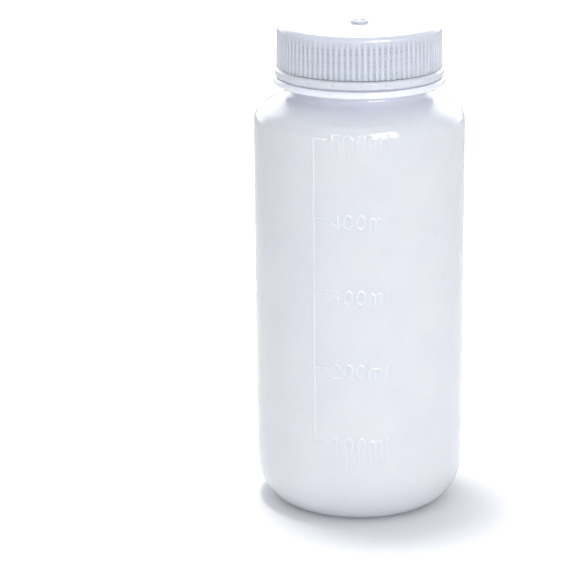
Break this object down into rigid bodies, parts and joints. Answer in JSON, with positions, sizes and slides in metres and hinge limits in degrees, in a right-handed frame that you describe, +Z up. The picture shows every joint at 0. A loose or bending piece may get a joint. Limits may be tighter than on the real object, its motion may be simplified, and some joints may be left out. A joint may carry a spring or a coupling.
{
  "type": "reagent bottle",
  "caption": "Wide-mouth milky plastic reagent bottle with raised volume graduations, a ribbed screw cap over a foam liner, and a loose tamper-evident band.",
  "frame": {"origin": "centre of the standing plane, on the bottle's axis", "axes": "+Z up along the bottle's axis; the raised graduations face -Y"},
  "size_m": [0.0726, 0.0729, 0.1709],
  "materials": {
    "bottle_plastic": "satin translucent natural polyethylene",
    "cap_plastic": "satin translucent natural polypropylene",
    "liner_foam": "matte closed-cell foam",
    "band_plastic": "satin translucent natural polypropylene"
  },
  "bodies": {
    "bottle": {"bottle_body": "bottle_plastic"},
    "liner": {"sealing_liner": "liner_foam"},
    "cap": {"screw_cap": "cap_plastic"},
    "band": {"tamper_band": "band_plastic"}
  },
  "joints": [
    {"name": "cap_lift", "type": "slide", "parent": "bottle", "child": "liner", "axis": [0, 0, 1], "range_m": [0, 0.02121]},
    {"name": "cap_turn", "type": "hinge", "parent": "liner", "child": "cap", "pos_m": [0, 0, 0.16], "axis": [0, 0, 1], "range_deg": [0, 1800]},
    {"name": "band_turn", "type": "hinge", "parent": "bottle", "child": "band", "pos_m": [0, 0, 0.1536], "axis": [0, 0, 1], "continuous": true}
  ],
  "couplings": [
    {"joint": "cap_lift", "follows": "cap_turn", "m_per_rad": 0.00067376}
  ]
}
